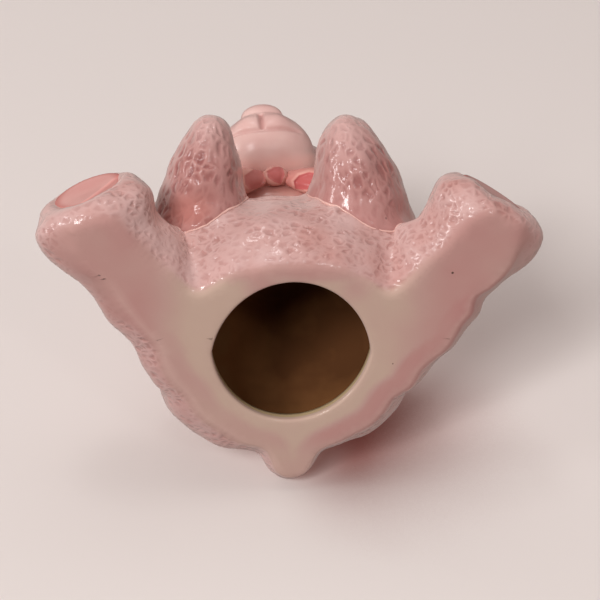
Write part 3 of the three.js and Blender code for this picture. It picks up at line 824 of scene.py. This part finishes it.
def creaseLine(arm, start, end, turns):  # where the arm's skin goes into the belly's
    armTree = treeOf(arm.data)
    axis = (end - start).normalized()
    first = axis.orthogonal().normalized()
    second = axis.cross(first)
    reach = (end - start).length
    line = []
    for i in range(turns):
        angle = 2 * math.pi * i / turns
        ray = first * math.cos(angle) + second * math.sin(angle)
        last = None
        for step in np.arange(arms["search"][0] * reach, arms["search"][1] * reach, -arms["stride"]):
            skin = armTree.ray_cast(start + axis * step, ray)[0]
            if skin is None:
                continue
            near, normal, _, _ = bodyTree.find_nearest(skin)
            gap = (skin - near).dot(normal)
            if gap < 0 and last is not None:
                line.append(last[0].lerp(skin, last[1] / (last[1] - gap)))
                break
            last = (skin, gap)
    line = np.array(line)
    for _ in range(3):
        line = (np.roll(line, 1, 0) + 2 * line + np.roll(line, -1, 0)) / 4
    out = [(bodyTree.find_nearest(p)[1] + armTree.find_nearest(p)[1]).normalized() for p in line]
    return line + arms["clear"] * np.array(out)


def addBead(arm, line, radius, glaze):
    shape = bmesh.new()
    shape.from_mesh(arm.data)
    middle = line.mean(0)
    slot = len(arm.data.materials)
    sides, (least, more) = arms["beadSides"], arms["beadThick"]
    rings = []
    for i, point in enumerate(line):
        run = Vector(line[(i + 1) % len(line)] - line[i - 1]).normalized()
        side = (Vector(point - middle) - run * Vector(point - middle).dot(run)).normalized()
        rise = run.cross(side)
        thick = radius * (least + more * noise.noise(Vector(point) / arms["beadRun"]))
        rings.append([shape.verts.new(Vector(point) + thick * (math.cos(t) * side + math.sin(t) * rise))
                      for t in np.arange(sides) * 2 * math.pi / sides])
    for i, ring in enumerate(rings):
        after = rings[(i + 1) % len(rings)]
        for k in range(sides):
            face = shape.faces.new((ring[k], after[k], after[(k + 1) % sides], ring[(k + 1) % sides]))
            face.material_index = slot
            face.smooth = True
    bmesh.ops.recalc_face_normals(shape, faces=[f for f in shape.faces if f.material_index == slot])
    arm.data.materials.append(glaze)
    shape.to_mesh(arm.data)
    shape.free()


for side in ("left", "right"):
    start, end = (Vector(arms[side][k]) * mm for k in ("shoulder", "paw"))
    lie = dict(arms["fur"], axis=tuple((end - start).normalized()), start=tuple(start),
               reach=(end - start).length, smooth=arms["smooth"][side])
    arm = makeFurred(side + "Arm", side + "_arm", arms["voxel"], arms["steps"],
                     furGlaze("glazedEarthenwareArm." + side, lie), lie)
    line = creaseLine(arm, start, end, arms["turns"])
    print(side, "crease", len(line), "points")
    addBead(arm, line, arms["bead"], beadGlaze)
    finished(arm, "pink_glaze", side + "_arm")


# head with its ears

head = {"voxel": 0.6 * mm, "steps": 14}
ear = {"voxel": 0.45 * mm, "steps": 10}
finished(makeFurred("head", "head_shell", head["voxel"], head["steps"], bodyGlaze, fur),
         "pink_glaze", "head_shell")
for side in ("left", "right"):
    finished(makeFurred(side + "Ear", side + "_ear", ear["voxel"], ear["steps"], bodyGlaze, fur),
             "pink_glaze", side + "_ear")


# muzzle and nose in one skin, with the lip's split, the mouth and two puffed cheeks pressed in

muzzle = {"middle": (-2.35, -15.84, 70.5), "ahead": (-0.1045, -0.9945, 0.0), "voxel": 0.32 * mm, "steps": 16,
          "mouth": -26, "mouthWidth": 5.0, "mouthRise": 9,      # degrees up and down; its ends turn up
          "mouthDepth": 0.6 * mm, "mouthHalf": 11 * mm, "mouthEnd": 0.8, "mouthPool": 0.3,
          "splitX": -0.4 * mm, "splitWidth": 1.2 * mm, "splitDepth": 0.9 * mm, "splitPool": 0.7,
          "splitTop": 8, "splitEnd": -22, "splitFade": 3,       # degrees again
          "noseFoot": 1.5 * mm, "noseTop": 7 * mm, "noseNarrow": 0.16,        # it tapers to the top
          "puffX": 4.2 * mm, "puff": 0.9 * mm, "puffRadius": 5.2 * mm, "puffRise": -8,
          "chin": (52, 84), "grow": 0.35 * mm, "faceDepth": 3 * mm}


def makeMuzzle(sizes):
    piece = mergedCopy("muzzleAndNose", "muzzle", "nose")
    middle, front = np.array(sizes["middle"]) * mm, np.array(sizes["ahead"])
    sideways = np.array((-front[1], front[0], 0))
    points = pointsOf(piece.data)
    high = smoothStep(sizes["noseFoot"], sizes["noseTop"], points[:, 2] - middle[2])
    narrow = -sizes["noseNarrow"] * high * ((points - middle) @ sideways - sizes["splitX"])
    setPoints(piece.data, points + narrow[:, None] * sideways)
    grown(relaxed(reskinned(piece, sizes["voxel"]), sizes["steps"]), sizes["grow"])
    reach = pointsOf(piece.data) - middle
    side, forward = reach @ sideways, reach @ front
    rise = np.degrees(np.arctan2(reach[:, 2], np.maximum(forward, 1e-4)))
    half, top, end, fade = (sizes[k] for k in ("mouthHalf", "splitTop", "splitEnd", "splitFade"))
    mouth = hump(abs(rise - sizes["mouth"] - sizes["mouthRise"] * (side / half) ** 2), sizes["mouthWidth"])
    mouth *= 1 - smoothStep(sizes["mouthEnd"] * half, half, abs(side))
    split = hump(abs(side - sizes["splitX"]), sizes["splitWidth"])
    split *= smoothStep(end - fade, end, rise) * (1 - smoothStep(top - fade, top, rise))
    turn = np.radians(rise - sizes["puffRise"]) * np.linalg.norm(reach, axis=1)
    puff = sum(hump(np.hypot(side - s * sizes["puffX"], turn), sizes["puffRadius"]) for s in (-1, 1))
    facing = smoothStep(0, sizes["faceDepth"], forward)
    grown(piece, facing * (sizes["puff"] * puff - sizes["mouthDepth"] * mouth - sizes["splitDepth"] * split))
    gathered = sizes["mouthPool"] * mouth + sizes["splitPool"] * split
    setAttribute(piece, "poolAndShade", facing * np.clip(gathered, 0, 1))
    setAttribute(piece, "rim", smoothStep(*sizes["chin"], -rise))       # painted light under the chin
    return relaxed(glazed(piece, muzzleGlaze), 1)


finished(makeMuzzle(muzzle), "pink_glaze", "muzzle", "nose")


# smooth pieces: eyes and ear inlays

small = {"Eye": {"node": "_eye", "slot": "dark_glaze", "voxel": 0.2 * mm, "steps": 8, "grow": 0.1 * mm},
         "EarInlay": {"node": "_ear_inlay", "slot": "blush_glaze", "voxel": 0.3 * mm, "steps": 6,
                      "grow": 0.3 * mm}}


def makeSmooth(name, node, sizes, glaze):
    piece = relaxed(reskinned(mergedCopy(name, node), sizes["voxel"]), sizes["steps"])
    return glazed(grown(piece, sizes["grow"]), glaze)


for side in ("left", "right"):
    for name, glaze in (("Eye", darkGlaze), ("EarInlay", padGlaze)):
        node = side + small[name]["node"]
        finished(makeSmooth(side + name, node, small[name], glaze), small[name]["slot"], node)


# sole pads: sunk below the furred rim, their edge and the ledge's step painted deeper pink as shade

pads = {"voxel": 0.3 * mm, "steps": 6, "grow": 0.4 * mm, "radius": 8.6 * mm, "sink": 0.3 * mm,
        "dish": 0.35 * mm, "face": (-0.2 * mm, 0.3 * mm),   # only the outer face is sunk
        "ledge": 0.3 * mm, "inward": (0.72, 0, -0.69),      # a step down along the lower, inner edge
        "ledgeAt": (0.36, 0.46), "edge": (0.72, 0.98),      # shares of the radius
        "ledgeShade": 0.6}
for side in ("left", "right"):
    pad = makeSmooth(side + "SolePad", side + "_sole_pad", pads, padGlaze)
    middle, facing = soleFrame(side)
    points, radius = pointsOf(pad.data), pads["radius"]
    depth, spread = fromSole(points, side)
    inward = np.array(pads["inward"]) * (-np.sign(middle[0]), 1, 1)
    ledge = smoothStep(*(share * radius for share in pads["ledgeAt"]), (points - middle) @ inward)
    sink = pads["sink"] + pads["dish"] * hump(spread, radius) + pads["ledge"] * ledge
    sink *= smoothStep(*pads["face"], depth)
    setPoints(pad.data, points - sink[:, None] * facing)
    # painted shade in the recess round the edge and at the ledge's step
    edge = smoothStep(*(share * radius for share in pads["edge"]), spread)
    setAttribute(pad, "poolAndShade", np.maximum(edge, pads["ledgeShade"] * ledge))
    finished(pad, "blush_glaze", side + "_sole_pad")


# bow and ribbon: salmon folds, with deep rose in the three hollows that look down from the bow

bow = {"voxel": 0.26 * mm, "steps": 8, "grow": 0.35 * mm, "press": 0.6 * mm,
       "squash": 0.25, "knotGrow": 0.25 * mm,       # a low, broad knot
       # picture pixels out from a hollow's edge where it is pressed, rose, and back to the fold's own colour
       "margin": 1.2, "pressed": (-3.0, 0.5), "rose": (-0.8, 0.3), "fold": (1.2, 3.2),
       # how deep the rose is in each hollow and on the fold round it, and the hollow's corners clockwise,
       # in picture pixels as the camera sees them
       # the right loop's rose is kept shallower: painted light against the shade that the right arm throws on
       # it
       "right": {"depth": 0.66, "ground": 0.0,
                 "corners": ((245.5, 176), (254.5, 169.5), (262.4, 172), (265.2, 180), (260.5, 186),
                             (250.5, 189), (246, 184))},
       "knot": {"depth": 0.85, "ground": 0.0,
                "corners": ((267.4, 172), (274, 167.8), (281.5, 167.3), (284, 174.5), (280.5, 183),
                            (275, 181.5), (269, 177.3))},
       "left": {"depth": 1.0, "ground": 0.45,
                "corners": ((294.5, 181.5), (299.5, 176), (309, 173), (316, 174), (316, 188), (302, 189),
                            (296, 188))}}


def outside(spots, corners):  # pixels out of a convex outline, negative within
    corners = np.array(corners, float)
    run = np.roll(corners, -1, 0) - corners
    out = np.stack((run[:, 1], -run[:, 0]), 1) / np.linalg.norm(run, axis=1)[:, None]
    return np.max(((spots[:, None, :] - corners) * out).sum(2), 1)


def pressed(piece, hollow):
    points, normals = pointsOf(piece.data), normalsOf(piece.data)
    reach = outside(inPicture(points), hollow["corners"]) - bow["margin"]
    seen = smoothStep(0.0, 0.25, -(normals @ np.array(ahead)))
    push = bow["press"] * (1 - smoothStep(*bow["pressed"], reach)) * seen
    setPoints(piece.data, points + push[:, None] * np.array(ahead))
    rose = hollow["depth"] * (1 - smoothStep(*bow["rose"], reach))
    rose += hollow["ground"] * smoothStep(*bow["fold"], reach)
    setAttribute(piece, "poolAndShade", rose * seen)
    return piece


for side in ("left", "right"):
    loop = makeSmooth(side + "BowLoop", side + "_bow_loop", bow, roseGlaze)
    finished(pressed(loop, bow[side]), "rose_glaze", side + "_bow_loop")
knot = makeSmooth("bowKnot", "bow_knot", dict(bow, grow=bow["knotGrow"]), roseGlaze)
points = pointsOf(knot.data)
drop = (points - (points.min(0) + points.max(0)) / 2) @ np.array(upward)
setPoints(knot.data, points - bow["squash"] * drop[:, None] * np.array(upward))
finished(pressed(knot, bow["knot"]), "rose_glaze", "bow_knot")
ribbon = {"voxel": 0.4 * mm, "steps": 10, "grow": 0.3 * mm}
finished(makeSmooth("neckRibbon", "neck_ribbon", ribbon, bandGlaze), "rose_glaze", "neck_ribbon")


# stage: the table that the back lies on, and a floor for other views

# the second and third colours are painted shadow, on the table and on the floor
stage = {"reach": 2.5, "table": "#e3dbd7", "close": "#94655f", "floorShadow": "#cfc2bc",
         "shade": (-0.6, -0.55, -0.58), "near": 60 * mm,     # which way and how far the painted shadow reaches
         "tinted": (("X", -4 * mm, 24 * mm), ("Z", 58 * mm, 34 * mm)),   # the painted shadow lies away from the window
         "low": (45.6 * mm, 4.5 * mm), "high": (39.5 * mm, 79 * mm)}


# matt card, quite even to the eye, clear from behind: a painted shadow darkens and reddens it where the
# figure lies close
def oneSided(name, hexText, shadowText):
    material, add, spot = newGlaze(name)
    behind = add("ShaderNodeNewGeometry").outputs["Backfacing"]
    # painted shadow and painted colour bleed, from how much of the view towards the window the figure hides
    free = add("ShaderNodeAmbientOcclusion", {
        "Distance": stage["near"], "Normal": Vector(stage["shade"]).normalized()}, samples=16).outputs["AO"]
    close = add("ShaderNodeMapRange", {"Value": free, 1: 0.45, 2: 0.88, 3: 1.0, 4: 0.0}).outputs[0]
    place = add("ShaderNodeSeparateXYZ", {0: spot}).outputs
    for axis, start, end in stage["tinted"]:
        share = add("ShaderNodeMapRange", {"Value": place[axis], 1: start, 2: end},
                    interpolation_type="SMOOTHSTEP").outputs[0]
        close = add("ShaderNodeMath", {0: close, 1: share}, operation="MULTIPLY").outputs[0]
    colour = add("ShaderNodeMix", {0: close, 6: linear(hexText), 7: linear(shadowText)},
                 data_type="RGBA").outputs[2]
    card = add("ShaderNodeBsdfDiffuse", {"Color": colour})
    clear = add("ShaderNodeBsdfTransparent")
    mixed = add("ShaderNodeMixShader", {0: behind, 1: card.outputs[0], 2: clear.outputs[0]})
    add("ShaderNodeOutputMaterial", {"Surface": mixed.outputs[0]})
    return material


def makeSheet(name, middle, along, facing, material):
    side = along.cross(facing).normalized() * stage["reach"]
    along = along.normalized() * stage["reach"]
    corners = [middle - side - along, middle + side - along, middle + side + along, middle - side + along]
    mesh = bpy.data.meshes.new(name)
    mesh.from_pydata(corners, [], [(0, 1, 2, 3)])
    if mesh.polygons[0].normal.dot(facing) < 0:
        mesh.flip_normals()
    mesh.materials.append(material)
    sheet = newPiece(name, mesh)
    sheet.visible_diffuse = False
    sheet.visible_glossy = False
    sheet.visible_shadow = False


low, high = Vector((0, *stage["low"])), Vector((0, *stage["high"]))
climb = (high - low).normalized()
makeSheet("table", low, climb, Vector((0, -climb.z, climb.y)),
          oneSided("mattCardTablePaintedShadow", stage["table"], stage["close"]))
makeSheet("floor", Vector((0, 0, 0)), Vector((0, 1, 0)), Vector((0, 0, 1)),
          oneSided("mattCardFloorPaintedShadow", stage["table"], stage["floorShadow"]))
print("stage laid")
